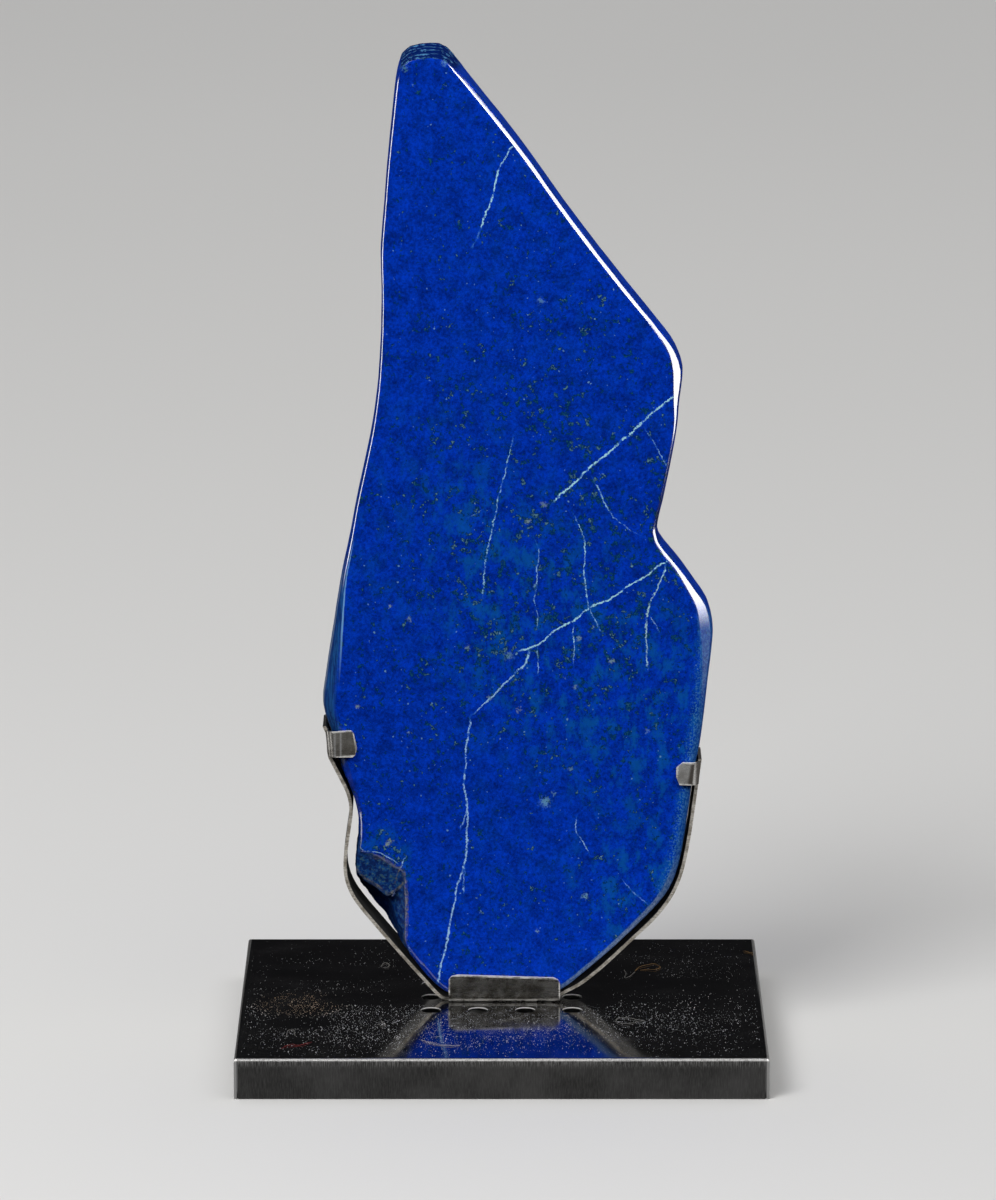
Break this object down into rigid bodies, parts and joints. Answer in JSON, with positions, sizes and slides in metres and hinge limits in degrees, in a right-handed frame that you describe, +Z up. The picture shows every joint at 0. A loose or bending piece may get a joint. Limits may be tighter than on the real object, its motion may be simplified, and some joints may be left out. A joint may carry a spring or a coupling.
{
  "type": "polished stone slab on a metal stand",
  "caption": "Polished free-form slab of lapis lazuli, held upright by clips of a bent steel strip on a folded steel base, for display.",
  "frame": {"origin": "centre of the base's underside, on the surface it stands on", "axes": "+X along the base's long side to the right seen from the front, +Y from front to back, +Z up along the stone"},
  "size_m": [0.16, 0.132, 0.3067],
  "materials": {
    "lapis": "polished, with pale veins, navy mottles and pyrite flecks; rough at the broken corner",
    "cradle_steel": "brushed, with bright worn edges",
    "base_steel": "polished dark and dusty on top, vertically brushed on the sides"
  },
  "bodies": {
    "root": {"base": "base_steel", "cradle": "cradle_steel", "lapis_slab": "lapis"}
  },
  "joints": []
}
